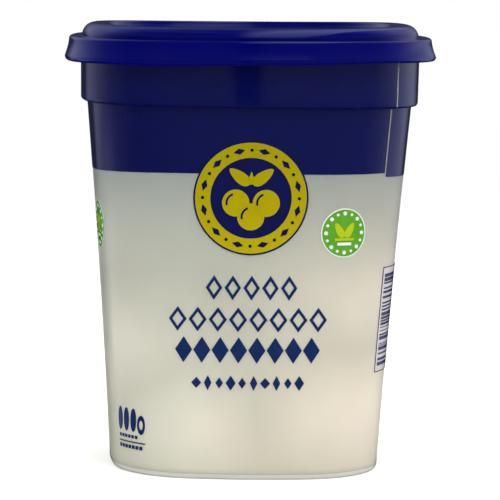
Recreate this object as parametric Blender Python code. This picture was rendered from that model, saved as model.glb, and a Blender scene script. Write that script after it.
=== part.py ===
"""Lidded tub of mozzarella balls in brine.

A thin-walled, milky, rounded-square plastic tub with a printed wall, filled to 5 mm under its rim, and a
press-on lid that sits slightly askew. The tub stands on the origin, its front faces -Y and Z is up.
Units are metres.
"""

import math

import bmesh
import bpy
from mathutils import Vector

# --- plan: four bowed sides joined by round corners -------------------------------------------------
SIDE_BOW = 3.0            # radius of a side's bow, as a multiple of the half width
SIDE_STEPS = 4            # facets along a side
CORNER_STEPS = 10         # facets round a corner

# --- tub --------------------------------------------------------------------------------------------
BASE_HALF = 0.03465       # half width at the foot
BASE_CORNER = 0.0220      # corner radius at the foot
SHOULDER_HALF = 0.04155   # half width of the tapered wall, right under the collar
SHOULDER_CORNER = 0.0260
SHOULDER_Z = 0.0931       # height at which the tapered wall meets the collar
WAIST = 0.0003            # how far the wall draws in, halfway up
COLLAR_HALF = 0.04315     # half width of the collar that steps out above the wall
COLLAR_FLARE = 0.0002     # how much wider the collar is at its top
COLLAR_ROUND = 0.0007     # radius of the collar's lower edge
RIM_HALF = 0.0447         # half width of the snap rim, under the lid
RIM_THICK = 0.0010
RIM_Z = 0.1076            # top of the tub
WALL = 0.0009             # wall thickness
FLOOR = 0.0010            # floor thickness
FOOT_ROUND = 0.0007       # radius of the foot's outer edge
FOOT_WIDTH = 0.0034       # width of the ring that the tub stands on
FOOT_HEIGHT = 0.0013      # how far the floor is raised inside that ring
FLOOR_ROUND = 0.0022      # radius between the floor and the inner wall

# --- contents ---------------------------------------------------------------------------------------
GAP = 0.0003              # running gap between neighbouring pieces
FILL_Z = 0.1028           # level of the brine, which makes the contents half a litre

# --- lid --------------------------------------------------------------------------------------------
LID_HALF = 0.0475         # widest half width, just above the lip
LID_CORNER = 0.0320
LID_WALL = 0.0010
LIP_Z = 0.1038            # lower edge of the skirt
LIP_ROUND = 0.0009        # radius of the curled-in lip
RING_HALF = 0.0464        # half width at the skirt's top
RING_ROUND = 0.0007
RING_Z = 0.1096           # flat ring inside the skirt's top edge
RIDGE_FOOT = 0.0431       # half width where the stacking ridge rises from the ring
RIDGE_HALF = 0.0400       # half width of the ridge's crest
RIDGE_Z = 0.1126          # top of the ridge, the highest part
PANEL_HALF = 0.0360       # half width of the sunken middle panel
PANEL_DEPTH = 0.0012
LID_TILT = math.radians(0.5)   # pressed down further on the -X side than on the +X side


# --- profile points: (half width, corner radius, inset, height) -------------------------------------
# inset moves a whole ring inwards along its normals, so a wall keeps one thickness round its corners

def wall_half(z):
    """Half width of the tapered wall: straight from foot to shoulder, drawn in by a parabola."""
    t = z / SHOULDER_Z
    return BASE_HALF + (SHOULDER_HALF - BASE_HALF) * t - 4.0 * WAIST * t * (1.0 - t)


def wall_corner(z):
    """Corner radius of the tapered wall, from foot to shoulder."""
    return BASE_CORNER + (SHOULDER_CORNER - BASE_CORNER) * z / SHOULDER_Z


def wall_ring(z, inset=0.0):
    """Ring of the tapered wall at a height."""
    return (wall_half(z), wall_corner(z), inset, z)


def collar_half(z):
    """Half width of the collar, which opens slightly towards the rim."""
    return COLLAR_HALF + COLLAR_FLARE * (z - SHOULDER_Z) / (RIM_Z - SHOULDER_Z)


def collar_ring(z, inset=0.0):
    """Ring of the collar at a height. Its corners keep the shoulder's centres."""
    half = collar_half(z)
    return (half, SHOULDER_CORNER + half - SHOULDER_HALF, inset, z)


def tub_profile():
    """Raised floor's underside, foot, outer wall, collar, rim, then down the inside to the floor."""
    rings = [
        wall_ring(0.0, FOOT_WIDTH + 0.5 * FOOT_HEIGHT)[:3] + (FOOT_HEIGHT,),
        wall_ring(0.0, FOOT_WIDTH),
    ]
    for step in range(4):
        angle = step / 3.0 * math.pi / 2.0
        z = FOOT_ROUND * (1.0 - math.cos(angle))
        rings.append(wall_ring(z, FOOT_ROUND * (1.0 - math.sin(angle))))
    rings += [wall_ring(SHOULDER_Z * t) for t in (0.17, 0.34, 0.5, 0.66, 0.83, 1.0)]
    for step in range(1, 5):
        angle = step / 4.0 * math.pi / 2.0
        z = SHOULDER_Z + COLLAR_ROUND * (1.0 - math.cos(angle))
        rings.append(collar_ring(z, COLLAR_ROUND * (1.0 - math.sin(angle))))
    under_rim = RIM_Z - RIM_THICK
    rings.append(collar_ring(under_rim))
    rim_corner = SHOULDER_CORNER + RIM_HALF - SHOULDER_HALF
    rings += [
        (RIM_HALF, rim_corner, 0.0, under_rim),
        (RIM_HALF, rim_corner, 0.0, RIM_Z - 0.3 * RIM_THICK),
        (RIM_HALF, rim_corner, 0.3 * RIM_THICK, RIM_Z),
        collar_ring(RIM_Z, WALL),
        collar_ring(SHOULDER_Z + WALL, WALL),
    ]
    rings += [wall_ring(SHOULDER_Z * t, WALL) for t in (1.0, 0.83, 0.66, 0.5, 0.34, 0.17)]
    return rings + floor_corner(WALL, FOOT_HEIGHT + FLOOR, FLOOR_ROUND)


def floor_corner(inset, floor_z, radius):
    """Rings of the round between an inner wall and the floor, from the wall down."""
    rings = []
    for step in range(4):
        angle = step / 3.0 * math.pi / 2.0
        z = floor_z + radius * (1.0 - math.sin(angle))
        rings.append(wall_ring(z, inset + radius * (1.0 - math.cos(angle))))
    return rings


def contents_profile():
    """Brine and cheese: the tub's inner form less the gap, from the floor up to the level."""
    inset = WALL + GAP
    rings = floor_corner(inset, FOOT_HEIGHT + FLOOR + GAP, FLOOR_ROUND)[::-1]
    rings += [wall_ring(SHOULDER_Z * t, inset) for t in (0.17, 0.34, 0.5, 0.66, 0.83, 1.0)]
    rings.append(collar_ring(SHOULDER_Z + WALL + GAP, inset))
    rings.append(collar_ring(FILL_Z, inset))
    return rings


def lid_ring(half, z, inset=0.0):
    """Ring of the lid. All its rings share their corners' centres."""
    return (half, LID_CORNER + half - LID_HALF, inset, z)


def lid_outer():
    """Middle panel, ridge, ring, flared skirt and curled lip, from the middle out and down."""
    rings = [
        lid_ring(PANEL_HALF, RIDGE_Z - PANEL_DEPTH),
        lid_ring(PANEL_HALF + PANEL_DEPTH, RIDGE_Z - 0.3 * PANEL_DEPTH),
    ]
    for step in range(5):
        angle = step / 4.0 * math.pi / 2.0
        half = RIDGE_HALF + (RIDGE_FOOT - RIDGE_HALF) * math.sin(angle)
        rings.append(lid_ring(half, RING_Z + (RIDGE_Z - RING_Z) * math.cos(angle)))
    for step in range(3):
        angle = step / 2.0 * math.pi / 2.0
        half = RING_HALF - RING_ROUND * (1.0 - math.sin(angle))
        rings.append(lid_ring(half, RING_Z - RING_ROUND * (1.0 - math.cos(angle))))
    skirt_top = RING_Z - RING_ROUND
    skirt_low = LIP_Z + LIP_ROUND
    for t in (0.4, 0.75, 1.0):
        flare = RING_HALF + (LID_HALF - RING_HALF) * t ** 1.5
        rings.append(lid_ring(flare, skirt_top + (skirt_low - skirt_top) * t))
    for step in (1, 2):
        angle = step / 2.0 * math.pi / 3.0
        z = skirt_low - LIP_ROUND * math.sin(angle) / math.sin(math.pi / 3.0)
        rings.append(lid_ring(LID_HALF - LIP_ROUND * (1.0 - math.cos(angle)), z))
    return rings


def lid_profile():
    """The lid's outer form, then the same form one wall thickness inside it, back to the middle."""
    outer = lid_outer()
    lip_half = outer[-1][0]
    inner = [lid_ring(lip_half - LID_WALL, LIP_Z)]
    inner.append(lid_ring(LID_HALF - LID_WALL, LIP_Z + LIP_ROUND))
    inner.append(lid_ring(RING_HALF - LID_WALL, RING_Z - 2.0 * LID_WALL))
    inner.append(lid_ring(RING_HALF - 1.5 * LID_WALL, RING_Z - LID_WALL))
    inner.append(lid_ring(RIDGE_FOOT - 0.5 * LID_WALL, RING_Z - LID_WALL))
    inner.append(lid_ring(RIDGE_HALF, RIDGE_Z - 1.15 * LID_WALL))
    inner.append(lid_ring(PANEL_HALF + 1.6 * LID_WALL, RIDGE_Z - 1.15 * LID_WALL))
    inner.append(lid_ring(PANEL_HALF, RIDGE_Z - PANEL_DEPTH - LID_WALL))
    return outer + inner


# --- making -----------------------------------------------------------------------------------------

def plan(half, corner, inset):
    """Points of one ring, anticlockwise: a bowed side about +X, the corner after it, four times.

    The side is an arc about (-k, 0) and the corner an arc about (c, c). They share a tangent where
    the corner's centre is the side's radius less the corner's radius away from the side's centre.
    """
    k = SIDE_BOW * half - half
    reach = SIDE_BOW * half - corner
    c = (math.sqrt(2.0 * reach * reach - k * k) - k) / 2.0
    join = math.atan2(c, c + k)
    quarter = []
    for step in range(SIDE_STEPS):
        angle = -join + 2.0 * join * step / SIDE_STEPS
        radius = SIDE_BOW * half - inset
        quarter.append((-k + radius * math.cos(angle), radius * math.sin(angle)))
    for step in range(CORNER_STEPS):
        angle = join + (math.pi / 2.0 - 2.0 * join) * step / CORNER_STEPS
        radius = corner - inset
        quarter.append((c + radius * math.cos(angle), c + radius * math.sin(angle)))
    points = []
    for turn in range(4):
        for x, y in quarter:
            points.append((x, y))
        quarter = [(-y, x) for x, y in quarter]
    return points


def loft(name, profile, origin=(0.0, 0.0, 0.0)):
    """Closed body through the profile's rings, capped at its first and last ring."""
    bm = bmesh.new()
    rings = []
    for half, corner, inset, z in profile:
        rings.append([bm.verts.new((x, y, z)) for x, y in plan(half, corner, inset)])
    for ring, following in zip(rings, rings[1:]):
        for i in range(len(ring)):
            bm.faces.new((ring[i - 1], ring[i], following[i], following[i - 1]))
    bm.faces.new(reversed(rings[0]))
    bm.faces.new(rings[-1])
    if bm.calc_volume(signed=True) < 0.0:
        bmesh.ops.reverse_faces(bm, faces=bm.faces)
    bmesh.ops.translate(bm, verts=bm.verts, vec=-Vector(origin))
    mesh = bpy.data.meshes.new(name)
    bm.to_mesh(mesh)
    bm.free()
    mesh.shade_smooth()
    mesh.set_sharp_from_angle(angle=math.radians(35.0))
    piece = bpy.data.objects.new(name, mesh)
    piece.location = origin
    bpy.context.scene.collection.objects.link(piece)
    return piece


def plastic(name, color, roughness, coat=0.0):
    """Principled material for a moulded piece or its filling."""
    material = bpy.data.materials.new(name)
    material.use_nodes = True
    shader = material.node_tree.nodes["Principled BSDF"]
    shader.inputs["Base Color"].default_value = (*color, 1.0)
    shader.inputs["Roughness"].default_value = roughness
    shader.inputs["Metallic"].default_value = 0.0
    shader.inputs["Coat Weight"].default_value = coat
    return material


def make_tub():
    """Milky thin-walled tub."""
    tub = loft("tub", tub_profile())
    tub.data.materials.append(plastic("milky_polypropylene", (0.78, 0.79, 0.72), 0.28))
    return tub


def make_contents():
    """Brine with the cheese in it, one solid up to its level."""
    contents = loft("brine_and_cheese", contents_profile())
    contents.data.materials.append(plastic("whey_brine", (0.80, 0.77, 0.66), 0.35))
    return contents


def make_lid():
    """Blue press-on lid, turned a little about the tub's rim."""
    lid = loft("lid", lid_profile(), origin=(0.0, 0.0, RIM_Z))
    lid.rotation_euler = (0.0, -LID_TILT, 0.0)
    lid.data.materials.append(plastic("blue_polypropylene", (0.006, 0.006, 0.16), 0.25, coat=0.3))
    return lid


def clear_scene():
    """Empty the scene of its startup objects."""
    for old in list(bpy.data.objects):
        bpy.data.objects.remove(old, do_unlink=True)


clear_scene()
make_tub()
make_contents()
make_lid()
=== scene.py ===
"""A lidded tub of mozzarella balls in cloudy brine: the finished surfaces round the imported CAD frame.

Every new piece is a surface worked out with numpy as whole arrays. Lengths are in millimetres until
new_piece() turns them to metres. The tub stands on the origin, its front faces -Y and Z is up.
"""

import math

import bpy
import numpy as np
from mathutils import Matrix, Vector


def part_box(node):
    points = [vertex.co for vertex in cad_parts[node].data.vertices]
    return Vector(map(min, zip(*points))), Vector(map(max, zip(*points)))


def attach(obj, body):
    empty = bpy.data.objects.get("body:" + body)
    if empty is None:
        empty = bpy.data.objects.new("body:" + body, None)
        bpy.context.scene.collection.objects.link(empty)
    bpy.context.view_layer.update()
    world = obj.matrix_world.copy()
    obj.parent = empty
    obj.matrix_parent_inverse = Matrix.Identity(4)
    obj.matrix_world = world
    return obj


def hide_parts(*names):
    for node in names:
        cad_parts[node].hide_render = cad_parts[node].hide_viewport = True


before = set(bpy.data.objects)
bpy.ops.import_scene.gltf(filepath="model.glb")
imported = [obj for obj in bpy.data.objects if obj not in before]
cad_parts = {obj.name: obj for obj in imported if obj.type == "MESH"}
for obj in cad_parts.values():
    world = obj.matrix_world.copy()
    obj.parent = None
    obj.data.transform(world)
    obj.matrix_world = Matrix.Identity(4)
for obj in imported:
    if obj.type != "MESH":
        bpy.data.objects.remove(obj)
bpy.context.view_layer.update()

MM = 0.001

# --- the tub's form, as in the CAD ------------------------------------------------------------------
SIDE_BOW = 3.0                          # radius of a side's bow, as a multiple of the half width
SIDE_SHARE = 0.2                        # share of a quarter turn from a side's middle to its end
BASE_HALF, BASE_CORNER = 34.65, 22.0
SHOULDER_HALF, SHOULDER_CORNER, SHOULDER_Z = 41.55, 26.0, 93.1
WAIST = 0.3                             # how far the wall draws in, halfway up
COLLAR_HALF, COLLAR_FLARE, COLLAR_ROUND = 43.15, 0.2, 0.7
RIM_THICK, RIM_ROUND = 1.0, 0.3
WALL, FLOOR, FLOOR_ROUND = 0.9, 1.0, 2.2
FOOT_ROUND, FOOT_WIDTH, FOOT_HEIGHT = 0.7, 3.4, 1.3
RIM_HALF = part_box("tub")[1].x / MM
RIM_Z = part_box("tub")[1].z / MM
FILL_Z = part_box("brine_and_cheese")[1].z / MM
LID_HALF, LID_CORNER = 47.5, 32.0
LID_CORNER_SHARE = 0.55                 # smallest corner radius of its inner rings, by half width
LID_WALL = 1.0
LIP_Z, LIP_ROUND, LIP_CURL = 103.8, 0.9, 0.8
RING_HALF, RING_ROUND, RING_Z = 46.4, 0.7, 109.6
RIDGE_FOOT, RIDGE_HALF, RIDGE_Z = 43.1, 40.0, 112.6
PANEL_HALF, PANEL_DEPTH = 36.0, 1.2
PANEL_ROUND, PANEL_DRAFT = 0.4, 0.1     # rounding at the panel's edge, and how far its step leans
RIDGE_INNER_ROUND = 0.7
LID_TILT = math.radians(0.5)            # the +X side sits higher
LIP_SLOPE = 0.0063                      # how much more the skirt's lower edge slopes than the lid
SADDLE = 0.27                           # how far the top rises to the sides and falls to the front

COLUMNS = 176                           # columns of quads round the tub
WHEY_COVER = 0.12                       # plastic left outside the contents, which reach into the wall
BALL_COVER = WHEY_COVER + 0.3           # plastic and brine left outside the balls
FOOT_LINE = 1.3                         # below this height the wall is thick foot


# --- shapes as functions of two parameters ----------------------------------------------------------

def wall_form(z):
    """Half width and corner radius at a height: straight from foot to shoulder less a parabola, then
    a step out over a quarter round, then the slightly flared collar."""
    z = np.asarray(z, float)
    t = z / SHOULDER_Z
    half = BASE_HALF + (SHOULDER_HALF - BASE_HALF) * t - 4.0 * WAIST * t * (1.0 - t)
    corner = BASE_CORNER + (SHOULDER_CORNER - BASE_CORNER) * t
    below = np.clip(SHOULDER_Z + COLLAR_ROUND - z, 0.0, COLLAR_ROUND)
    collar = COLLAR_HALF + COLLAR_FLARE * (z - SHOULDER_Z) / (RIM_Z - SHOULDER_Z)
    collar = collar - COLLAR_ROUND + np.sqrt(COLLAR_ROUND ** 2 - below ** 2)
    above = z > SHOULDER_Z
    corner = np.where(above, SHOULDER_CORNER + collar - SHOULDER_HALF, corner)
    return np.where(above, collar, half), corner


def hump(value, middle, width):
    """Soft hump, 1 at the middle: exp(-((value - middle) / width)^2)."""
    return np.exp(-((value - middle) / width) ** 2)


def arc(steps, first=0):
    """Angles from 0 to a quarter turn in even steps, without those before the first."""
    return np.linspace(0.0, math.pi / 2.0, steps)[first:]


def plan_arcs(half, corner):
    """Side arc about (-k, 0) and corner arc about (c, c), which share a tangent at the angle join:
    returns k, c and join."""
    k = (SIDE_BOW - 1.0) * half
    reach = SIDE_BOW * half - corner
    c = (np.sqrt(2.0 * reach ** 2 - k ** 2) - k) / 2.0
    return k, c, np.arctan2(c, c + k)


def plan(half, corner, turn, lift=0.0):
    """Point x, y of the rounded square at a turn, in quarter turns from the middle of the front,
    anticlockwise from above: a bowed side to SIDE_SHARE each way, then half of each round corner.
    The lift moves it outwards along its normal."""
    k, c, join = plan_arcs(half, corner)
    quarter = np.round(turn)
    local = turn - quarter
    size, sign = np.abs(local), np.sign(local)
    along = np.clip((size - SIDE_SHARE) / (0.5 - SIDE_SHARE), 0.0, 1.0)
    on_side = size <= SIDE_SHARE
    angle = np.where(on_side, join * size / SIDE_SHARE, join + along * (math.pi / 4.0 - join)) * sign
    radius = np.where(on_side, SIDE_BOW * half, corner) + lift
    x = np.where(on_side, -k, c) + radius * np.cos(angle)
    y = np.where(on_side, 0.0, sign * c) + radius * np.sin(angle)
    facing = (quarter - 1.0) * math.pi / 2.0
    return x * np.cos(facing) - y * np.sin(facing), x * np.sin(facing) + y * np.cos(facing)


def turn_at(run, half, corner):
    """Turn that lies a run in millimetres along the wall from the middle of the front, to the right."""
    _, _, join = plan_arcs(half, corner)
    side = join * SIDE_BOW * half
    quarter_run = 2.0 * side + corner * (math.pi / 2.0 - 2.0 * join)
    quarter = np.round(run / quarter_run)
    rest = run - quarter * quarter_run
    size = np.abs(rest)
    past = SIDE_SHARE + (size - side) / (0.5 * quarter_run - side) * (0.5 - SIDE_SHARE)
    return quarter + np.sign(rest) * np.where(size <= side, size / side * SIDE_SHARE, past)


def on_wall(run, z):
    """Points of the outer wall at a run along it and a height, as an array (..., 3)."""
    run, z = np.broadcast_arrays(np.asarray(run, float), np.asarray(z, float))
    half, corner = wall_form(z)
    x, y = plan(half, corner, turn_at(run, half, corner))
    return np.stack([x, y, z], -1)


def ring_surface(half, corner, inset, z, columns=COLUMNS):
    """Rings of the rounded square, one for each entry of the profile, as an array (rings, columns, 3)."""
    half, corner, inset, z = (a[:, None] for a in np.broadcast_arrays(half, corner, inset, z))
    turn = np.arange(columns)[None, :] * 4.0 / columns
    x, y = plan(half, corner, turn, -inset)
    return np.stack([x, y, z + 0.0 * x], -1)


def strip(points, start=0, wrap=False):
    """Quads over a grid of points, numbered from start. wrap joins the last column to the first."""
    rows, columns = points.shape[:2]
    index = np.arange(rows * columns).reshape(rows, columns) + start
    if wrap:
        index = np.concatenate([index, index[:, :1]], 1)
    corners = (index[:-1, :-1], index[:-1, 1:], index[1:, 1:], index[1:, :-1])
    return np.stack(corners, -1).reshape(-1, 4)


def lofted(points):
    """A closed body from rings of points: quads between the rings and a flat cap on each end."""
    rows, columns = points.shape[:2]
    index = np.arange(rows * columns).reshape(rows, columns)
    faces = strip(points, wrap=True).tolist() + [index[0, ::-1].tolist(), index[-1].tolist()]
    return points.reshape(-1, 3), faces


def film(points, lift, wrap=False, depth=0.05):
    """A closed thin plate along a grid of points: its front is lifted along the surface's normals,
    its back is sunk, and quads close its edges."""
    across = np.roll(points, -1, 1) - np.roll(points, 1, 1) if wrap else np.gradient(points, axis=1)
    normal = np.cross(across, np.gradient(points, axis=0))
    normal /= np.maximum(np.linalg.norm(normal, axis=-1, keepdims=True), 1e-9)
    rows, columns = points.shape[:2]
    count = rows * columns
    index = np.arange(count).reshape(rows, columns)
    front, back = strip(points, wrap=wrap), strip(points, count, wrap=wrap)[:, ::-1]
    edges = [(index[0], True), (index[-1], False)]
    if not wrap:
        edges += [(index[:, 0], False), (index[:, -1], True)]
    sides = []
    for edge, forward in edges:
        edge = np.append(edge, edge[0]) if wrap else edge
        a, b = edge[:-1], edge[1:]
        quad = (a + count, b + count, b, a) if forward else (a, b, b + count, a + count)
        sides.append(np.stack(quad, -1))
    vertices = np.concatenate([points + lift * normal, points - depth * normal]).reshape(-1, 3)
    return vertices, np.concatenate([front, back] + sides).tolist()


def joined(bodies):
    """Many (vertices, faces) as one."""
    vertices, faces, start = [], [], 0
    for body_vertices, body_faces in bodies:
        vertices.append(body_vertices)
        faces += [[i + start for i in face] for face in body_faces]
        start += len(body_vertices)
    return np.concatenate(vertices), faces


# --- flat figures for the print, as grids of (run, height) ------------------------------------------

def box_grid(left, right, low, high, columns, rows=2):
    """An upright rectangle: straight from side to side and from low to high."""
    return np.meshgrid(np.linspace(left, right, columns), np.linspace(low, high, rows))


def disc_grid(cells=10):
    """The unit disc as a square grid drawn out to the circle: x = u sqrt(1 - v^2/2), and y likewise."""
    u, v = np.meshgrid(np.linspace(-1.0, 1.0, cells), np.linspace(-1.0, 1.0, cells))
    return u * np.sqrt(1.0 - v * v / 2.0), v * np.sqrt(1.0 - u * u / 2.0)


def disc(run, z, radius, tall=None, cells=10, lean=0.0):
    """An ellipse, its half height tall where that isn't the radius, leaning by an angle."""
    x, y = disc_grid(cells)
    x, y = x * radius, y * (tall or radius)
    return turned(x, y, run, z, lean)


def lozenge(run, z, wide, tall, cells=3, lean=0.0):
    """A lozenge: the unit square turned by 45 degrees and scaled."""
    u, v = np.meshgrid(np.linspace(-0.5, 0.5, cells), np.linspace(-0.5, 0.5, cells))
    return turned((u + v) * wide / 2.0, (v - u) * tall / 2.0, run, z, lean)


def leaf(run, z, length, wide, lean):
    """A leaf: a disc drawn out along one axis and narrowed towards its tip by 1 - 0.45 (1 + x)/2."""
    x, y = disc_grid(9)
    narrowed = 1.0 - 0.45 * (1.0 + x) / 2.0
    return turned(x * length / 2.0, y * wide / 2.0 * narrowed, run, z, lean)


def drop(run, z, radius, tall):
    """A drop: a disc whose upper half is narrowed by 1 - 0.72 y and drawn up by y^1.5 to a tip."""
    x, y = disc_grid(9)
    up = np.clip(y, 0.0, 1.0)
    return run + x * radius * (1.0 - 0.72 * up), z + y * radius + up ** 1.5 * (tall - 2.0 * radius)


def turned(x, y, run, z, lean):
    """Figure turned by an angle, anticlockwise, and moved to its place."""
    c, s = math.cos(lean), math.sin(lean)
    return run + x * c - y * s, z + x * s + y * c


def hoop(run, z, outer, inner, steps, start=0.0, end=None, tall=1.0):
    """A ring, or an arc of one from start to end, drawn out upwards by tall: rows go in from the outer
    to the inner edge."""
    whole = end is None
    angle = np.linspace(start, start + 2.0 * math.pi if whole else end, steps, endpoint=not whole)
    radius = np.linspace(outer, inner, 4)[:, None]
    return run + radius * np.cos(angle), z + tall * radius * np.sin(angle)


def lozenge_hoop(run, z, wide, tall, stroke):
    """An outlined lozenge: its corners and edge middles lie at 1 / (|cos| + |sin|) of its half sizes,
    in rows from the full size to one stroke inside."""
    angle = np.arange(8) * math.pi / 4.0
    span = 1.0 / (np.abs(np.cos(angle)) + np.abs(np.sin(angle)))
    inset = stroke * math.hypot(wide, tall) / (wide * tall) * 2.0
    scale = np.linspace(1.0, 1.0 - inset, 3)[:, None]
    reach = scale * span
    return run + wide / 2.0 * reach * np.cos(angle), z + tall / 2.0 * reach * np.sin(angle)


def printed(figures, lift, wrap=False):
    """Films on the wall for a list of figures."""
    return [film(on_wall(*figure), lift, wrap) for figure in figures]


# --- making pieces ----------------------------------------------------------------------------------

def new_piece(name, body, material, shades=None):
    """Mesh object from (vertices, faces) in millimetres, smooth but for edges over 35 degrees, riding
    the root body. shades are named values, one for each vertex."""
    vertices, faces = body
    mesh = bpy.data.meshes.new(name)
    mesh.from_pydata((np.asarray(vertices) * MM).tolist(), [], faces)
    for key, values in (shades or {}).items():
        mesh.attributes.new(key, "FLOAT", "POINT").data.foreach_set("value", np.asarray(values, np.float32))
    mesh.shade_smooth()
    mesh.set_sharp_from_angle(angle=math.radians(35.0))
    mesh.materials.append(material)
    piece = bpy.data.objects.new(name, mesh)
    bpy.context.scene.collection.objects.link(piece)
    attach(piece, "root")
    return piece


def hex_linear(text):
    """Linear RGBA of an sRGB hex colour: ((v + 0.055)/1.055)^2.4, or v/12.92 for dark values."""
    values = [int(text[i:i + 2], 16) / 255.0 for i in (1, 3, 5)]
    return [v / 12.92 if v <= 0.04045 else ((v + 0.055) / 1.055) ** 2.4 for v in values] + [1.0]


def add(tree, kind, settings=None, inputs=None):
    """Adds a node, sets its properties, then sets or links its inputs. A node given as an input stands
    for its first output, and a hex text is a colour."""
    node = tree.nodes.new(kind)
    for key, value in (settings or {}).items():
        setattr(node, key, value)
    for key, value in (inputs or {}).items():
        value = value.outputs[0] if isinstance(value, bpy.types.Node) else value
        if isinstance(value, bpy.types.NodeSocket):
            tree.links.new(value, node.inputs[key])
        else:
            node.inputs[key].default_value = hex_linear(value) if isinstance(value, str) else value
    return node


def new_material(name, roughness, ior, **shader_inputs):
    """Principled material with its constants on the shader's own sockets: returns it with its tree,
    shader and object coordinates."""
    material = bpy.data.materials.new(name)
    material.use_nodes = True
    tree = material.node_tree
    shader = tree.nodes["Principled BSDF"]
    shader.inputs["Roughness"].default_value = roughness
    shader.inputs["IOR"].default_value = ior
    for key, value in shader_inputs.items():
        shader.inputs[key.replace("_", " ")].default_value = value
    place = add(tree, "ShaderNodeTexCoord").outputs["Object"]
    return material, tree, shader, place


def mottled(tree, shader, place, first, second, size, detail=3.0):
    """Base colour that wanders between two colours in clouds of a size in millimetres."""
    noise = add(tree, "ShaderNodeTexNoise", None,
                {"Vector": place, "Scale": 1.0 / (size * MM), "Detail": detail}).outputs["Fac"]
    spread = add(tree, "ShaderNodeMapRange", None, {"Value": noise, "From Min": 0.3, "From Max": 0.7})
    mix = add(tree, "ShaderNodeMix", {"data_type": "RGBA"}, {0: spread, 6: first, 7: second})
    tree.links.new(mix.outputs[2], shader.inputs["Base Color"])
    return noise, mix


def waviness(tree, shader, place, size, height):
    """Bump from soft waves of a size and height in millimetres."""
    waves = add(tree, "ShaderNodeTexNoise", None,
                {"Vector": place, "Scale": 1.0 / (size * MM), "Detail": 1.0}).outputs["Fac"]
    bump = add(tree, "ShaderNodeBump", None, {"Height": waves, "Distance": height * MM, "Strength": 1.0})
    tree.links.new(bump.outputs["Normal"], shader.inputs["Normal"])


# --- materials --------------------------------------------------------------------------------------

POLYPROPYLENE_IOR, INK_IOR = 1.49, 1.5
BRINE_IOR, CURD_IOR = 1.34, 1.36
TUB_CLOUDS, LID_CLOUDS, INK_CLOUDS, BOARD_CLOUDS, CURD_CLOUDS = 22.0, 14.0, 2.2, 30.0, 9.0
TUB_WAVES, LID_WAVES = (16.0, 0.10), (20.0, 0.12)           # size and height of a moulding's waviness


def moulded(name, roughness, first, second, clouds, waves, **shader_inputs):
    """Injection-moulded polypropylene: two close colours in soft clouds, and slight waviness."""
    material, tree, shader, place = new_material(name, roughness, POLYPROPYLENE_IOR, **shader_inputs)
    mottled(tree, shader, place, first, second, clouds)
    waviness(tree, shader, place, *waves)
    return material


def milky_polypropylene():
    """Natural polypropylene, injection moulded thin: milky, so what lies behind it shows softly, and
    satin, with the slight waviness of a thin moulding."""
    return moulded("milky_polypropylene", 0.14, "#b8bab4", "#c1c2bc", TUB_CLOUDS, TUB_WAVES, Alpha=0.3)


def thick_polypropylene():
    """The same natural polypropylene where it is thick, in the foot: its milkiness adds up until
    nothing shows through."""
    return moulded("thick_milky_polypropylene", 0.14, "#bcbab1", "#c3c1b8", TUB_CLOUDS, TUB_WAVES)


WHITER_TINT, CREAMIER_TINT = (0.985, 1.03, 1.03), (1.02, 0.985, 0.945)
CREAMIER_FROM, CREAMIER_TO = -20.0, 28.0    # the contents turn creamier from left to right


def sunk_curd(name, roughness, ior):
    """Stretched-curd cheese in whey brine that is cloudy with milk fat: grey-green where little light
    comes in under the print, cream where the cheese lies close to the wall. The cheese itself and the
    brine over it share these colours, so a ball fades softly into the brine."""
    material, tree, shader, place = new_material(name, roughness, ior)
    light, cheese = (add(tree, "ShaderNodeAttribute", {"attribute_name": key}).outputs["Fac"]
                     for key in ("light", "cheese"))
    brine, curd = (add(tree, "ShaderNodeMix", {"data_type": "RGBA"}, {0: light, 6: dark, 7: lit}).outputs[2]
                   for dark, lit in (("#68736f", "#b4af98"), ("#67736b", "#eadfcd")))
    both = add(tree, "ShaderNodeMix", {"data_type": "RGBA"}, {0: cheese, 6: brine, 7: curd}).outputs[2]
    noise = add(tree, "ShaderNodeTexNoise", None,
                {"Vector": place, "Scale": 1.0 / (CURD_CLOUDS * MM), "Detail": 2.0}).outputs["Fac"]
    cloud = add(tree, "ShaderNodeMapRange", None, {"Value": noise, "To Min": 0.94, "To Max": 1.06})
    cloudy = add(tree, "ShaderNodeVectorMath", {"operation": "SCALE"}, {0: both, "Scale": cloud})
    across = add(tree, "ShaderNodeSeparateXYZ", None, {0: place}).outputs["X"]
    creamier = add(tree, "ShaderNodeMapRange", None, {
        "Value": across, "From Min": CREAMIER_FROM * MM, "From Max": CREAMIER_TO * MM})
    tint = add(tree, "ShaderNodeMix", {"data_type": "VECTOR"},
               {0: creamier, 4: WHITER_TINT, 5: CREAMIER_TINT}).outputs[1]
    tinted = add(tree, "ShaderNodeVectorMath", {"operation": "MULTIPLY"}, {0: cloudy, 1: tint})
    tree.links.new(tinted.outputs["Vector"], shader.inputs["Base Color"])
    return material


def ink(name, first, second, roughness=0.15, gloss=0.5, low=None, high=None):
    """Offset ink under varnish on the moulded wall: dense, glossy, with a slight mottle, and it follows
    the waviness of the plastic under it. Where a low and a high place are given, light that comes through
    it from behind is painted into its colour: it turns from the first colour at a high place to the
    second at a low one."""
    material, tree, shader, place = new_material(name, roughness, INK_IOR, Specular_IOR_Level=gloss)
    noise, mix = mottled(tree, shader, place, first, second, INK_CLOUDS)
    if low is not None:
        # painted light: the colour shifts with height as if light came through the ink from behind
        up = add(tree, "ShaderNodeSeparateXYZ", None, {0: place}).outputs["Z"]
        lit = add(tree, "ShaderNodeMapRange", None,
                  {"Value": up, "From Min": high * MM, "From Max": low * MM})
        fleck = add(tree, "ShaderNodeMath", {"operation": "MULTIPLY_ADD"}, {0: noise, 1: 0.3, 2: -0.15})
        both = add(tree, "ShaderNodeMath", {"operation": "ADD", "use_clamp": True}, {0: lit, 1: fleck})
        tree.links.new(both.outputs[0], mix.inputs[0])
    waviness(tree, shader, place, *TUB_WAVES)
    return material


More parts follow.
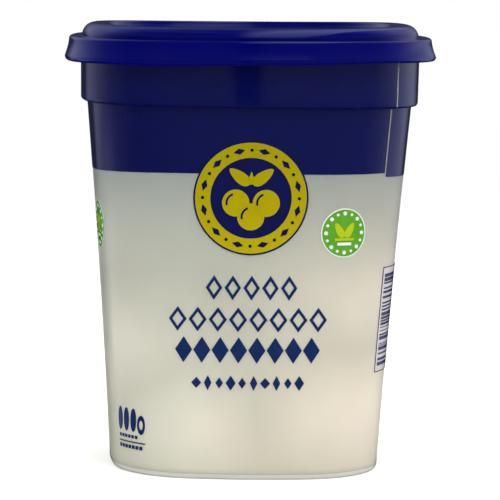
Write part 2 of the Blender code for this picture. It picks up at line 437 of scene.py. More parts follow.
def royal_polypropylene():
    """Polypropylene dyed royal blue, injection moulded in a polished mould: glossy, deep blue."""
    return moulded("royal_blue_polypropylene", 0.09, "#02034c", "#030453", LID_CLOUDS, LID_WAVES)


def studio_floor():
    """Matt white board, which fades into the white surroundings between 0.35 m and 1.1 m from the tub:
    a mix with a transparent shader by a smooth step of the distance from the middle."""
    material, tree, shader, place = new_material("white_board", 0.9, 1.45)
    mottled(tree, shader, place, "#f4f4f4", "#f7f7f7", BOARD_CLOUDS)
    distance = add(tree, "ShaderNodeVectorMath", {"operation": "LENGTH"}, {0: place}).outputs["Value"]
    fade = add(tree, "ShaderNodeMapRange", {"interpolation_type": "SMOOTHSTEP"},
               {"Value": distance, "From Min": 0.35, "From Max": 1.1})
    clear = add(tree, "ShaderNodeBsdfTransparent")
    mix = add(tree, "ShaderNodeMixShader", None, {0: fade, 1: shader, 2: clear})
    tree.links.new(mix.outputs[0], tree.nodes["Material Output"].inputs["Surface"])
    return material


# --- tub wall ---------------------------------------------------------------------------------------

def tub_shell():
    """The tub's closed wall as a profile of rings: underside, foot with a quarter-round edge, outer wall,
    collar, snap rim, then down the inside, one wall thickness in, to a quarter-round edge at the floor."""
    rows = []

    def ring(z, inset=0.0, at=None):
        """Adds rings at heights z, an inset in from the wall's form there, or from its form at a height."""
        half, corner = wall_form(z if at is None else at)
        rows.append(np.broadcast_arrays(half, corner, inset, z))

    ring(np.array([FOOT_HEIGHT, 0.0]), np.array([FOOT_WIDTH + 0.5 * FOOT_HEIGHT, FOOT_WIDTH]), at=0.0)
    a = arc(7)
    ring(FOOT_ROUND * (1.0 - np.cos(a)), FOOT_ROUND * (1.0 - np.sin(a)))
    ring(np.array([FOOT_LINE]))
    ring(np.linspace(FOOT_LINE, SHOULDER_Z, 28)[1:])
    ring(SHOULDER_Z + COLLAR_ROUND * (1.0 - np.cos(arc(9, 1))))
    ring(np.linspace(SHOULDER_Z + COLLAR_ROUND, RIM_Z - RIM_THICK, 6)[1:])
    rim_corner = SHOULDER_CORNER + RIM_HALF - SHOULDER_HALF
    rows.append(np.broadcast_arrays(RIM_HALF, rim_corner, np.zeros(1), RIM_Z - RIM_THICK))
    a = arc(4)
    rows.append(np.broadcast_arrays(RIM_HALF, rim_corner, RIM_ROUND * (1.0 - np.cos(a)),
                                    RIM_Z - RIM_ROUND * (1.0 - np.sin(a))))
    ring(np.linspace(RIM_Z, SHOULDER_Z + WALL, 5), WALL)
    ring(np.linspace(SHOULDER_Z, FOOT_HEIGHT + FLOOR + FLOOR_ROUND, 20)[:-1], WALL)
    a = arc(6)
    ring(FOOT_HEIGHT + FLOOR + FLOOR_ROUND * (1.0 - np.sin(a)), WALL + FLOOR_ROUND * (1.0 - np.cos(a)))
    half, corner, inset, z = np.concatenate([np.stack(row) for row in rows], 1)
    return lofted(ring_surface(half, corner, inset, z))


# --- lid --------------------------------------------------------------------------------------------

def lid_shell():
    """Press-on lid as a profile of rings: sunken panel, stacking ridge with a quarter-round front, flat
    ring, skirt that flares by t^1.5 and curled lip, then the same form one wall thickness inside.
    warped() bends it and tilts it."""
    half, z = [], []

    def ring(wide, height):
        """Adds rings of a half width at a height."""
        wide, height = np.broadcast_arrays(wide, height)
        half.append(wide.ravel())
        z.append(height.ravel())

    panel_z, top, low = RIDGE_Z - PANEL_DEPTH, RING_Z - RING_ROUND, LIP_Z + LIP_ROUND
    ring(np.linspace(10.0, PANEL_HALF - PANEL_ROUND, 4), panel_z)
    a = arc(5)
    ring(PANEL_HALF - PANEL_ROUND * (1.0 - np.sin(a)), panel_z + PANEL_ROUND * (1.0 - np.cos(a)))
    ring(PANEL_HALF + PANEL_DRAFT + RIDGE_INNER_ROUND * (1.0 - np.cos(a)),
         RIDGE_Z - RIDGE_INNER_ROUND * (1.0 - np.sin(a)))
    ring(np.linspace(PANEL_HALF + PANEL_DRAFT + RIDGE_INNER_ROUND, RIDGE_HALF, 4)[1:-1], RIDGE_Z)
    a = arc(12)
    ring(RIDGE_HALF + (RIDGE_FOOT - RIDGE_HALF) * np.sin(a), RING_Z + (RIDGE_Z - RING_Z) * np.cos(a))
    ring(np.linspace(RIDGE_FOOT, RING_HALF - RING_ROUND, 4)[1:-1], RING_Z)
    a = arc(6)
    ring(RING_HALF - RING_ROUND * (1.0 - np.sin(a)), RING_Z - RING_ROUND * (1.0 - np.cos(a)))
    t = np.linspace(0.0, 1.0, 9)[1:]
    ring(RING_HALF + (LID_HALF - RING_HALF) * t ** 1.5, top + (low - top) * t)
    a = arc(6, 1)
    ring(LID_HALF - LIP_CURL * LIP_ROUND * (1.0 - np.cos(a)), low - LIP_ROUND * np.sin(a))
    ring(LID_HALF - LIP_CURL * LIP_ROUND - LID_WALL * np.array([0.25, 0.5]), LIP_Z)
    for inner_half, inner_z in ((LID_HALF - LID_WALL, low), (RING_HALF - LID_WALL, RING_Z - 2.0 * LID_WALL),
                                (RING_HALF - 1.5, RING_Z - 1.0), (RIDGE_FOOT - 0.5, RING_Z - 1.0),
                                (RIDGE_HALF, RIDGE_Z - 1.15), (PANEL_HALF + 1.6, RIDGE_Z - 1.15),
                                (PANEL_HALF, panel_z - 1.0)):
        ring(inner_half, inner_z)
    half, z = np.concatenate(half), np.concatenate(z)
    corner = np.maximum(LID_CORNER + half - LID_HALF, LID_CORNER_SHARE * half)
    return lofted(warped(ring_surface(half, corner, 0.0, z)))


def warped(points):
    """The lid's small faults of moulding and fit. Its lower edge wanders by two humps on the front and a
    wave, sin(3 angle), on the back, and slopes with x. Its top is a shallow saddle, SADDLE (x^2 - y^2) /
    RIDGE_HALF^2. Then the whole tilts about the rim."""
    x, y, z = points[..., 0], points[..., 1], points[..., 2]
    near_lip = np.clip((RING_Z - z) / (RING_Z - LIP_Z), 0.0, 1.0)
    near_top = np.clip((z - RING_Z) / (RIDGE_Z - RING_Z), 0.0, 1.0)
    front = 0.28 * hump(x, 30.0, 10.0) - 0.33 * hump(x, -20.0, 13.0)
    back = 0.16 * np.sin(3.0 * np.arctan2(x, -y) + 1.0) * np.clip(y / 20.0, 0.0, 1.0)
    wander = np.where(y < 0.0, front, back)
    up = z - RIM_Z + (wander + LIP_SLOPE * x) * near_lip ** 1.5
    up = up + SADDLE * (x * x - y * y) / RIDGE_HALF ** 2 * near_top
    c, s = math.cos(LID_TILT), math.sin(LID_TILT)
    return np.stack([x * c - up * s, y, RIM_Z + x * s + up * c], -1)


# --- contents ---------------------------------------------------------------------------------------

# rough places of the cheese balls: x, y, height and radius. settle() pushes them apart.
BALLS = np.array([
    (-9.0, -20.8, 14.6, 12.0), (10.6, -21.0, 16.6, 15.8), (-17.5, 13.0, 17.0, 14.5),
    (11.5, 16.5, 17.2, 14.8), (-21.4, -17.0, 34.6, 12.4), (3.0, -2.0, 38.0, 13.8),
    (20.4, -17.0, 50.2, 15.6), (-12.0, 17.0, 43.0, 14.5), (17.0, 14.0, 45.0, 14.8),
    (-17.0, -9.0, 69.0, 14.4), (2.0, -3.0, 63.0, 14.0), (18.0, -9.0, 77.0, 14.5),
    (-11.0, 18.0, 70.0, 14.6), (14.0, 18.0, 71.0, 14.3), (-6.0, -14.0, 87.0, 14.2),
    (4.0, 12.0, 88.0, 14.5),
])
PRESSED = 0.985                         # balls press together to this share of their radii's sum
SINK, SINK_ABOVE = 0.02, 24.0           # how far a ball sinks at each step, and above which height
FADE = 6.5                              # how far into the brine something fades to about a third
LIGHT_EDGE_Z = 77.0                     # the printed band keeps light out above this height
LIGHT_REACH, LIGHT_CURVE = 23.0, 1.25   # how the light grows below it
LIGHT_TOP = 0.89                        # the most that comes in from the sides
LEFT_SHADE_LINE = 0.958                       # where the painted dark line of shade on the left side lies, by the half width


def wall_depth(points, inset):
    """How far points lie inside the tub's form at their height, one inset in from the outside, and the
    form's outward normal there: each point is measured from the centre of its side's or corner's arc."""
    half, corner = wall_form(np.clip(points[..., 2], 0.0, SHOULDER_Z))
    k, c, join = plan_arcs(half, corner)
    flat, steep = np.abs(points[..., :2]), np.tan(join)
    in_corner = (flat[..., 1] > steep * (flat[..., 0] + k)) & (flat[..., 0] > steep * (flat[..., 1] + k))
    on_x = flat[..., 0] >= flat[..., 1]
    centre = np.stack([np.where(in_corner, c, np.where(on_x, -k, 0.0)),
                       np.where(in_corner, c, np.where(on_x, 0.0, -k))], -1)
    arm = flat - centre
    length = np.maximum(np.linalg.norm(arm, axis=-1), 1e-6)
    normal = arm / length[..., None] * np.where(points[..., :2] < 0.0, -1.0, 1.0)
    return np.where(in_corner, corner, SIDE_BOW * half) - inset - length, normal


def settle(balls, rounds=160):
    """At each round, two balls that overlap move apart by a quarter of it each, and a ball moves in from
    the wall and the floor by half of what stands out."""
    place, radius = balls[:, :3].copy(), balls[:, 3]
    for _ in range(rounds):
        gap = place[:, None] - place[None]
        length = np.linalg.norm(gap, axis=-1) + np.eye(len(place)) * 1e3
        overlap = np.maximum((radius[:, None] + radius[None]) * PRESSED - length, 0.0)
        place += 0.25 * (gap / length[..., None] * overlap[..., None]).sum(1)
        depth, normal = wall_depth(place, WALL)
        place[:, :2] -= 0.5 * normal * np.maximum(radius - depth, 0.0)[:, None]
        place[:, 2] += 0.5 * np.maximum(FOOT_HEIGHT + FLOOR + radius - place[:, 2], 0.0)
        place[:, 2] -= SINK * (place[:, 2] > SINK_ABOVE)
    return place, radius


def light_inside(points):
    """How much light reaches the contents at a point, which is painted into their colour as shade. It grows
    below the printed band by 1 - exp(-(distance / 23)^1.25), times 0.89, or up to 1 near the floor, where
    the board under the tub lights it, and 0.12 (1 - exp(-distance / 2.5)) of what is missing is made good.
    A soft upright line of painted shade at the left edge, above the lowest part, is up to 0.40 darker, and
    painted shade makes the last bit over the foot 0.30 darker."""
    x, z = points[..., 0], points[..., 2]
    below = np.clip(LIGHT_EDGE_Z - z, 0.0, None)
    from_board = 0.15 * np.exp(-z / 15.0)
    light = (1.0 - np.exp(-(below / LIGHT_REACH) ** LIGHT_CURVE)) * (LIGHT_TOP + from_board)
    light = 1.0 - (1.0 - light) * (1.0 - 0.12 * (1.0 - np.exp(-below / 2.5)))
    # painted shade: an upright dark line near the left edge, and a dark strip just over the foot
    left_shade = hump(-x / wall_form(z)[0], LEFT_SHADE_LINE, 0.028) * np.clip((z - 22.0) / 12.0, 0.0, 1.0)
    over_foot = np.exp(-np.clip(z - FOOT_LINE, 0.0, None) / 0.6)
    return light * (1.0 - 0.40 * left_shade) * (1.0 - 0.30 * over_foot)


def ball_reach(polar, round_, radius, number):
    """Radius of a soft ball in a direction, as a multiple of its own: 1 + 0.020 sin(2 round) sin(polar)^2
    + 0.018 cos(3 polar), each wave shifted by the ball's number."""
    return radius * (1.0 + 0.020 * np.sin(2.0 * round_ + number) * np.sin(polar) ** 2
                     + 0.018 * np.cos(3.0 * polar + 2.1 * number))


def ball(place, radius, number):
    """A soft ball. What stands out past the wall is moved back along the wall's normal, and what hangs
    below the floor is moved up onto it, all but 0.02 of its depth."""
    pole = 0.06
    polar = np.linspace(pole, math.pi - pole, 30)[::-1, None]
    round_ = np.linspace(0.0, 2.0 * math.pi, 44, endpoint=False)[None]
    reach = ball_reach(polar, round_, radius, number)
    points = np.stack([reach * np.sin(polar) * np.cos(round_), reach * np.sin(polar) * np.sin(round_),
                       reach * np.cos(polar) + 0.0 * round_], -1) + place
    for _ in range(3):
        depth, normal = wall_depth(points, BALL_COVER)
        points[..., :2] -= np.maximum(-depth, 0.0)[..., None] * normal
    points[..., 2] = np.maximum(points[..., 2], FOOT_HEIGHT + FLOOR + 0.02 * (radius - points[..., 2]))
    return lofted(points)


def cheese_nearness(points, place, radius):
    """How strongly the nearest ball shows at points of the brine's surface: exp(-gap / FADE)."""
    gaps = []
    for number, (middle, size) in enumerate(zip(place, radius)):
        away = points - middle
        length = np.linalg.norm(away, axis=1)
        reach = ball_reach(np.arccos(away[:, 2] / length), np.arctan2(away[:, 1], away[:, 0]), size, number)
        gaps.append(length - reach)
    return np.exp(-np.maximum(np.min(gaps, 0), 0.0) / FADE)


def brine_body():
    """Brine and cheese as one body that reaches just into the wall and the thick foot: the wall's form
    one WHEY_COVER in, with a small quarter-round edge at the bottom, up to the brine's level."""
    rounding = 0.2
    a = arc(6)[::-1]
    upright = np.concatenate([np.linspace(FOOT_LINE, SHOULDER_Z, 72)[1:],
                              np.linspace(SHOULDER_Z + COLLAR_ROUND, FILL_Z, 5)])
    z = np.concatenate([FOOT_LINE - rounding * np.sin(a), upright])
    inset = WHEY_COVER + np.concatenate([rounding * (1.0 - np.cos(a)), 0.0 * upright])
    half, corner = wall_form(z)
    return lofted(ring_surface(half, corner, inset, z, 320))


# --- print ------------------------------------------------------------------------------------------

SEAM_TURN, SEAM_WIDE = 0.538, 0.75      # the band's two ends almost meet, right of the front
BAND_ROUND = 290.0                      # its length round the tub
BAND_LOW, BAND_RISE = 75.5, 1.45        # its lower edge lies lower on the sides and the back
CLIMB_START, CLIMB_SPAN = 2.2, 1.2      # where that edge climbs to the front, in quarter turns
BADGE_RUN, BADGE_Z = -0.6, 71.0         # the badge's middle: run to the right, and height
BADGE_OUTLINE, BADGE_RING, BADGE_MIDDLE, WREATH = 14.2, 13.75, 10.0, 11.9       # its radii
MOTIF_BALLS = (-3.75, -1.2), (3.75, -1.2), (0.0, -4.6)
STROKE = 0.72                           # how thick the outlined lozenges are drawn
SEALS = (23.1, 62.4, 6.15), (-50.0, 62.0, 6.2)      # run, height and radius
STRIPE_LINE, STRIPE_COUNT = 0.22, 64    # the thinnest stripe, and how many stripes and spaces
MARKS_LEFT = -36.8                      # the weight marks' left edge


def band_film():
    """Ink band from under the rim down over the collar: each column runs down the wall's profile. Its
    lower edge falls off after the seam by 0.5 exp(-turns / 0.15) and climbs again towards the front by
    a smooth step, t^2 (3 - 2 t)."""
    gap = SEAM_WIDE / BAND_ROUND * 4.0
    turn = np.linspace(SEAM_TURN + gap / 2.0, SEAM_TURN + 4.0 - gap / 2.0, 240)[None]
    since = turn - turn.min()
    step = np.clip((since - CLIMB_START) / CLIMB_SPAN, 0.0, 1.0)
    low = BAND_LOW + BAND_RISE * step ** 2 * (3.0 - 2.0 * step) + 0.5 * np.exp(-since / 0.15)
    wall = low + (SHOULDER_Z - low) * np.linspace(0.0, 1.0, 10)[:, None]
    collar = np.concatenate([SHOULDER_Z + COLLAR_ROUND * (1.0 - np.cos(arc(10, 1))),
                             np.linspace(SHOULDER_Z + COLLAR_ROUND, RIM_Z - RIM_THICK - 0.1, 6)[1:]])
    z = np.concatenate([wall, collar[:, None] + 0.0 * turn])
    half, corner = wall_form(z)
    x, y = plan(half, corner, turn + 0.0 * z)
    return film(np.stack([x, y, z], -1), 0.04)


def tapered(figures, foot):
    """Figures whose upright lines follow the wall's taper: a run grows with the wall's half width over
    that at the figures' foot."""
    return [(run * wall_form(z)[0] / wall_form(foot)[0], z) for run, z in figures]


def badge():
    """Round badge that overlaps the band: thin dark outline, wide light ring with a wreath of lozenges
    and dots, dark middle with three cheese balls, two leaves and a drop."""
    run, z = BADGE_RUN, BADGE_Z
    outline = [disc(run, z, BADGE_OUTLINE, cells=18)]
    ring = [disc(run, z, BADGE_RING, cells=18)]
    middle = [disc(run, z, BADGE_MIDDLE, cells=14)]
    for i in range(12):
        a = 2.0 * math.pi * (i + 0.5) / 12.0
        b = a + math.pi / 12.0
        middle.append(lozenge(run + WREATH * math.cos(a), z + WREATH * math.sin(a), 3.0, 1.5,
                              lean=a + math.pi / 2.0))
        middle.append(disc(run + WREATH * math.cos(b), z + WREATH * math.sin(b), 0.42, cells=5))
    motif = [disc(run + x, z + y, 3.35, cells=10) for x, y in MOTIF_BALLS]
    motif += [leaf(run + x, z + 5.3, 6.2, 3.6, math.radians(lean))
              for x, lean in ((-2.9, 142.0), (2.9, 38.0))]
    motif.append(drop(run, z + 4.4, 1.0, 3.2))
    shines = [hoop(run + x, z + y, 2.5, 2.0, 10, 1.9, 3.4) for x, y in MOTIF_BALLS]
    return outline, ring, middle, motif, shines


def title_rows():
    """Four rows of lozenges in place of lettering, as wide and as heavy as the rows on such a tub."""
    outlined = [lozenge_hoop(left + step * i, z, wide, 6.2, STROKE)
                for count, left, step, z, wide in ((5, -9.3, 4.65, 48.6, 4.1), (8, -18.2, 5.0, 40.6, 4.5))
                for i in range(count)]
    solid = [lozenge(-16.6 + 4.55 * i, 32.9, 4.3, 6.6) for i in range(8)]
    solid += [lozenge(-13.3 + 2.85 * i, 24.6, 1.9 if i % 3 else 2.5, 3.8 if i % 2 else 2.8)
              for i in range(10)]
    return outlined, solid


def seals():
    """Two round seals: green disc in a pale edge, a ring of dots and a bar, two leaves and a bar."""
    edge, face, dots, motif = [], [], [], []
    for run, z, radius in SEALS:
        edge.append(disc(run, z, radius, cells=14))
        face.append(disc(run, z, radius - 0.28, cells=14))
        for i in range(16):
            a = 2.0 * math.pi * i / 16.0
            size = 0.36 if i % 2 else 0.5
            dots.append(disc(run + 4.9 * math.cos(a), z + 4.9 * math.sin(a), size, cells=5))
        dots.append(box_grid(run - 1.9, run + 1.9, z - 3.1, z - 2.4, 5))
        motif += [leaf(run + x, z + 0.7, 4.2, 2.4, math.radians(lean))
                  for x, lean in ((-1.4, 120.0), (1.4, 60.0))]
        motif.append(box_grid(run - 2.6, run + 2.6, z - 1.9, z - 1.3, 6))
    return edge, face, dots, motif


def stripe_block():
    """A pale panel in a thin frame with a stack of stripes of uneven height, drawn from a fixed seed."""
    left, right, low, high = 35.6, 49.2, 26.0, 52.9
    panel = [box_grid(left, right, low, high, 14, 12)]
    line = STRIPE_LINE
    stripes = [box_grid(left, right, low, low + line, 14), box_grid(left, right, high - line, high, 14),
               box_grid(left, left + line, low, high, 2, 12),
               box_grid(right - line, right, low, high, 2, 12)]
    heights = np.random.default_rng(7).choice(line * np.array([1, 1, 2, 2, 3, 4]), STRIPE_COUNT)
    z = low + 1.6
    for stripe, space in heights.reshape(-1, 2):
        if z + stripe > high - 1.2:
            break
        stripes.append(box_grid(left + 1.1, right - 2.2, z, z + stripe, 12))
        z += stripe + space
    return tapered(panel, low), tapered(stripes, low)


def weight_marks():
    """Four tall rounded figures over a row of dashes, a rule and a second row of dashes."""
    left = MARKS_LEFT
    figures = [disc(left + 0.4 + 2.75 * i, 13.6, 1.05, 3.0, cells=8) for i in range(3)]
    hollow = [hoop(left + 8.6, 12.6, 1.3, 0.65, 20, tall=1.9)]
    figures += [box_grid(left + 1.3 * i, left + 1.3 * i + 0.9, 8.9, 9.7, 3) for i in range(6)]
    figures += [box_grid(left, left + 10.0, 7.75, 8.05, 10)]
    figures += [box_grid(left + 1.35 * i, left + 1.35 * i + 1.0, 6.2, 7.1, 3) for i in range(7)]
    return figures, hollow


# --- build the pieces -------------------------------------------------------------------------------

NAVY = ink("navy_band_ink", "#04083a", "#060a41", 0.07)
MARK = ink("blue_figure_ink", "#0c214a", "#122652", gloss=0.2)
# the yellow is painted lighter lower down, as painted light coming through the ink
YELLOW = ink("ochre_yellow_ink", "#8a8000", "#9c8f00", gloss=0.1, low=57.5, high=84.5)
GREEN = ink("green_seal_ink", "#4a8a1c", "#539324")
PALE = ink("white_ink", "#cfd3cf", "#d6d9d5")
VEIL = ink("thin_white_ink", "#b6afae", "#bbb4b3")
LEMON = ink("lemon_seal_ink", "#9aac00", "#a2b208")

tub_vertices, tub_faces = tub_shell()
tub_wall = new_piece("tub_wall", (tub_vertices, tub_faces), milky_polypropylene())
tub_wall.data.materials.append(thick_polypropylene())
in_foot = [tub_vertices[face, 2].max() < FOOT_LINE + 0.01 for face in tub_faces]
tub_wall.data.polygons.foreach_set("material_index", np.array(in_foot, np.int32))
tub_wall.visible_shadow = False
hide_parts("tub")

ball_places, ball_radii = settle(BALLS)
brine_vertices, brine_faces = brine_body()
brine_shades = {"light": light_inside(brine_vertices),
                "cheese": cheese_nearness(brine_vertices, ball_places, ball_radii)}
brine = new_piece("cloudy_brine", (brine_vertices, brine_faces),
                  sunk_curd("cloudy_brine", 0.45, BRINE_IOR), brine_shades)
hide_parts("brine_and_cheese")
ball_vertices, ball_faces = joined([ball(p, r, i) for i, (p, r) in enumerate(zip(ball_places, ball_radii))])
ball_shades = {"light": light_inside(ball_vertices), "cheese": np.ones(len(ball_vertices))}
new_piece("cheese_balls", (ball_vertices, ball_faces),
          sunk_curd("fresh_stretched_curd", 0.45, CURD_IOR), ball_shades)

lid = new_piece("press_on_lid", lid_shell(), royal_polypropylene())
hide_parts("lid")

new_piece("print_band", band_film(), NAVY)
HALF_TURN = np.array([-1.0, -1.0, 1.0])  # the back carries the front's figures, turned half round
outline, ring, middle, motif, shines = badge()
outlined, solid = title_rows()
edge, face, dots, seal_motif = seals()
panel, stripes = stripe_block()
marks, hollow = weight_marks()
# each film's ink, how far it stands out from the wall, its open figures and its closed rings
for name, material, lift, figures, rings in (
        ("badge_outline", NAVY, 0.08, outline, []),
        ("badge_ring", YELLOW, 0.12, ring, []),
        ("badge_middle", NAVY, 0.16, middle, []),
        ("badge_motif", YELLOW, 0.20, motif, []),
        ("badge_lines", NAVY, 0.24, shines, []),
        ("title_rows", MARK, 0.05, solid + marks, outlined + hollow),
        ("seal_edges", PALE, 0.05, edge, []),
        ("seal_faces", GREEN, 0.09, face, []),
        ("seal_dots", PALE, 0.13, dots, []),
        ("seal_motifs", LEMON, 0.13, seal_motif, []),
        ("stripe_panel", VEIL, 0.05, panel, []),
        ("stripes", NAVY, 0.09, stripes, [])):
    films = printed(figures, lift) + printed(rings, lift, True)
    new_piece(name, joined(films + [(v * HALF_TURN, f) for v, f in films]), material)

# --- floor, lights, surroundings and camera ---------------------------------------------------------

FLOOR_HALF, FLOOR_DROP = 3000.0, 0.02
u, v = np.meshgrid(np.linspace(-FLOOR_HALF, FLOOR_HALF, 9), np.linspace(-FLOOR_HALF, FLOOR_HALF, 9))
floor_mesh = bpy.data.meshes.new("floor")
floor_points = np.stack([u, v, 0.0 * u - FLOOR_DROP], -1)
floor_mesh.from_pydata((floor_points.reshape(-1, 3) * MM).tolist(), [], strip(floor_points).tolist())
floor_mesh.materials.append(studio_floor())
floor = bpy.data.objects.new("floor", floor_mesh)
bpy.context.scene.collection.objects.link(floor)
floor.visible_glossy = False


TUB_MIDDLE = Vector((0.0, 0.0, 0.06))


def soft_box(name, azimuth, elevation, distance, watts):
    """Square area light at an azimuth from the front and an elevation, turned to the tub's middle."""
    light = bpy.data.lights.new(name, "AREA")
    light.shape, light.size, light.energy = "SQUARE", 0.8, watts
    lamp = bpy.data.objects.new(name, light)
    a, e = math.radians(azimuth), math.radians(elevation)
    out = Vector((math.sin(a) * math.cos(e), -math.cos(a) * math.cos(e), math.sin(e)))
    lamp.location = out * distance + TUB_MIDDLE
    lamp.rotation_euler = out.to_track_quat("Z", "Y").to_euler()
    lamp.visible_glossy = False
    bpy.context.scene.collection.objects.link(lamp)


soft_box("soft_box_left", -50.0, 38.0, 0.9, 5.0)
soft_box("soft_box_right", 46.0, 38.0, 0.9, 6.5)
soft_box("soft_box_back_left", -150.0, 50.0, 1.1, 3.5)
soft_box("soft_box_back_right", 150.0, 50.0, 1.1, 3.5)

# places and factors: of the low surroundings and of the high ones that reflections see, by degrees
# from straight ahead; of the low ones by height, which is the upward part of a ray's direction; and of
# those behind on the left, by degrees
LOW_ROUND = ((0.0, 0.13), (70.0, 0.11), (95.0, 0.25), (110.0, 0.43), (126.0, 0.52), (137.0, 0.48),
             (146.0, 0.33), (153.0, 0.13), (160.0, 0.03), (180.0, 0.02))
HIGH_ROUND = ((0.0, 0.06), (60.0, 0.08), (87.0, 0.15), (108.0, 0.33), (123.0, 0.56), (140.0, 0.56),
              (157.0, 0.42), (168.0, 0.25), (180.0, 0.05))
LOW_UPWARDS = ((-0.20, 1.0), (-0.185, 1.0), (-0.16, 0.8), (-0.138, 0.775), (-0.115, 1.05),
               (-0.05, 1.15), (0.0, 1.15))
LEFT_BEHIND = ((-165.0, 1.0), (-151.0, 1.0), (-144.0, 0.1), (-138.0, 0.1), (-131.0, 1.8),
               (-120.0, 1.8), (-105.0, 1.0))
CAMERA_AZIMUTH = 2.33                   # the surroundings' front is turned to the camera


def studio_world():
    """White to the camera. To everything else: dim low surroundings that brighten to the sides and
    darken again behind, with a narrow dark gap just right of straight ahead and a slightly darker belt
    low down, then a bright upper half. Reflections see a slightly cool version: its upper half is bright
    to the sides only, with one strip of light that runs overhead from front to back, and low down behind
    on the left there is a dark and a bright line."""
    world = bpy.data.worlds.new("studio")
    world.use_nodes = True
    tree = world.node_tree
    tree.nodes.clear()
    direction = add(tree, "ShaderNodeTexCoord").outputs["Generated"]
    facing = add(tree, "ShaderNodeMapping", None, {
        "Vector": direction, "Rotation": (0.0, 0.0, math.radians(CAMERA_AZIMUTH))})
    right, behind, up = add(tree, "ShaderNodeSeparateXYZ", None, {0: facing}).outputs
    ahead = add(tree, "ShaderNodeMath", {"operation": "MULTIPLY"}, {0: behind, 1: -1.0})
    azimuth = add(tree, "ShaderNodeMath", {"operation": "ARCTAN2"}, {0: right, 1: ahead})
    azimuth = add(tree, "ShaderNodeMath", {"operation": "DEGREES"}, {0: azimuth})
    around = add(tree, "ShaderNodeMath", {"operation": "ABSOLUTE"}, {0: azimuth})
    apart = []
    for place, middle in ((azimuth, 2.9), (right, 0.13)):
        away = add(tree, "ShaderNodeMath", {"operation": "SUBTRACT"}, {0: place, 1: middle})
        apart.append(add(tree, "ShaderNodeMath", {"operation": "ABSOLUTE"}, {0: away}))
    off_gap, off_strip = apart

    # factors that follow a list of places. A ramp holds them as shares of the brightest one.
    followed = []
    for place, stops in ((around, LOW_ROUND), (around, HIGH_ROUND), (up, LOW_UPWARDS),
                         (azimuth, LEFT_BEHIND)):
        start, end = stops[0][0], stops[-1][0]
        brightest = max(factor for _, factor in stops)
        share = add(tree, "ShaderNodeMapRange", None, {"Value": place, "From Min": start, "From Max": end})
        ramp = add(tree, "ShaderNodeValToRGB", None, {0: share})
        elements = ramp.color_ramp.elements
        elements[0].position, elements[1].position = 0.0, 1.0
        for stop, _ in stops[1:-1]:
            elements.new((stop - start) / (end - start))
        for element, (_, factor) in zip(elements, stops):
            element.color = (factor / brightest, factor / brightest, factor / brightest, 1.0)
        followed.append(add(tree, "ShaderNodeMath", {"operation": "MULTIPLY"}, {0: ramp, 1: brightest}))
    low, high, level, left_lines = followed

    # factors that go evenly from one value to another between two places
    even = []
    for place, start, end, first, last in (
            (off_gap, 2.2, 4.0, 0.0, 1.0),              # the gap is dark between its edges,
            (up, -0.14, -0.20, 0.0, 1.0),               # and ends low down
            (around, 60.0, 115.0, 0.25, 1.0),           # the low surroundings darken upwards in front,
            (up, -0.30, -0.42, 1.0, 0.02),              # and end far down
            (around, 95.0, 135.0, 0.38, 0.0),           # reflections see the upper half from this height
            (around, 95.0, 135.0, 0.64, 0.12),          # to this one, which lie lower behind
            (up, -0.15, -0.25, 0.0, 1.0),               # light comes up from the white board
            (up, 0.62, 0.88, 1.0, 0.25),                # the upper half darkens overhead
            (off_strip, 0.13, 0.08, 0.0, 1.0),          # the strip's sides,
            (up, 0.2, 0.4, 0.0, 1.0),                   # its lower end,
            (behind, -0.90, -0.72, 0.0, 1.0),           # its end in front
            (up, 0.6, 0.95, 0.25, 1.0),                 # and its brighter part overhead
            (up, -0.155, -0.185, 0.0, 1.0)):            # the lines on the left show below this
        even.append(add(tree, "ShaderNodeMapRange", None, {
            "Value": place, "From Min": start, "From Max": end,
            "To Min": first, "To Max": last}))
    (gap, below_gap, sideways, far_down, mirror_start, mirror_end, ground, zenith,
     strip_sides, strip_foot, strip_front, strip_top, lines_low) = even
    higher = add(tree, "ShaderNodeMapRange", None, {
        "Value": up, "From Min": 0.0, "From Max": 0.14, "To Min": 1.0, "To Max": sideways})
    mirror_rise = add(tree, "ShaderNodeMapRange", None,
                      {"Value": up, "From Min": mirror_start, "From Max": mirror_end})
    rise = add(tree, "ShaderNodeMapRange", {"interpolation_type": "SMOOTHSTEP"},
               {"Value": up, "From Min": 0.45, "From Max": 0.72})
    open_gap = add(tree, "ShaderNodeMath", {"operation": "MAXIMUM"}, {0: gap, 1: below_gap})
    brighter_right = add(tree, "ShaderNodeMath", {"operation": "MULTIPLY_ADD"}, {0: right, 1: 0.36, 2: 1.0})
    for factor in (open_gap, higher, far_down, brighter_right, level):
        low = add(tree, "ShaderNodeMath", {"operation": "MULTIPLY"}, {0: low, 1: factor})
    overhead = strip_sides
    for factor in (strip_foot, strip_front, strip_top):
        overhead = add(tree, "ShaderNodeMath", {"operation": "MULTIPLY"}, {0: overhead, 1: factor})
    high = add(tree, "ShaderNodeMath", {"operation": "MULTIPLY_ADD"}, {0: high, 1: zenith, 2: overhead})

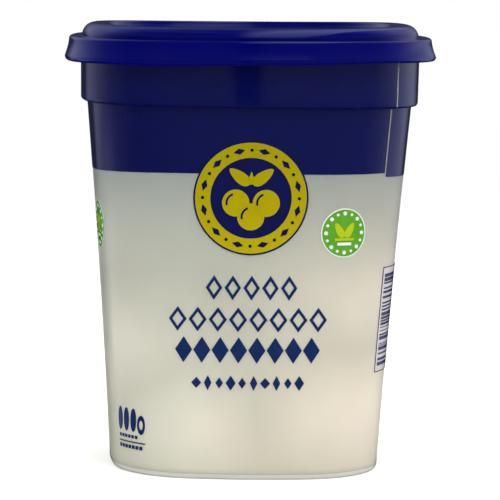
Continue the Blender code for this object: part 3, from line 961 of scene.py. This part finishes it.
    lines = add(tree, "ShaderNodeMix", {"data_type": "FLOAT"}, {0: lines_low, 2: 1.0, 3: left_lines})
    low_mirrored = add(tree, "ShaderNodeMath", {"operation": "MULTIPLY"}, {0: low, 1: lines})
    mirrored = add(tree, "ShaderNodeMix", {"data_type": "FLOAT"},
                   {0: mirror_rise, 2: low_mirrored, 3: high})
    cool = add(tree, "ShaderNodeVectorMath", {"operation": "SCALE"},
               {0: (0.88, 0.92, 1.2), "Scale": mirrored})
    light = add(tree, "ShaderNodeMix", {"data_type": "FLOAT"}, {0: rise, 2: low, 3: 1.0})
    light = add(tree, "ShaderNodeMix", {"data_type": "FLOAT"}, {0: ground, 2: light, 3: 0.9})
    path = add(tree, "ShaderNodeLightPath").outputs
    for ray, seen in (("Is Glossy Ray", cool), ("Is Camera Ray", "#ffffff")):
        light = add(tree, "ShaderNodeMix", {"data_type": "RGBA"},
                    {0: path[ray], 6: light, 7: seen}).outputs[2]
    lamp = add(tree, "ShaderNodeBackground", None, {"Color": light})
    add(tree, "ShaderNodeOutputWorld", None, {"Surface": lamp})
    bpy.context.scene.world = world


studio_world()


def look(place, heading, pitch, roll, lens):
    """Camera at a place in metres, turned right by the heading and down by the pitch, and rolled by an
    angle, all in radians."""
    data = bpy.data.cameras.new("camera")
    data.lens, data.sensor_width, data.clip_end = lens, 36.0, 50.0
    camera = bpy.data.objects.new("camera", data)
    level = Vector((math.sin(heading), math.cos(heading), 0.0))
    ahead = level * math.cos(pitch) - Vector((0.0, 0.0, math.sin(pitch)))
    right = Vector((math.cos(heading), -math.sin(heading), 0.0))
    up = right.cross(ahead)
    right, up = (math.cos(roll) * right + math.sin(roll) * up, math.cos(roll) * up - math.sin(roll) * right)
    camera.matrix_world = Matrix.Translation(place) @ Matrix((right, up, -ahead)).transposed().to_4x4()
    bpy.context.scene.collection.objects.link(camera)
    bpy.context.scene.camera = camera


look(place=(-0.0304, -0.7494, 0.1313), heading=0.0419, pitch=0.1025, roll=0.0170, lens=209.2)
bpy.context.scene.view_settings.view_transform = "Standard"
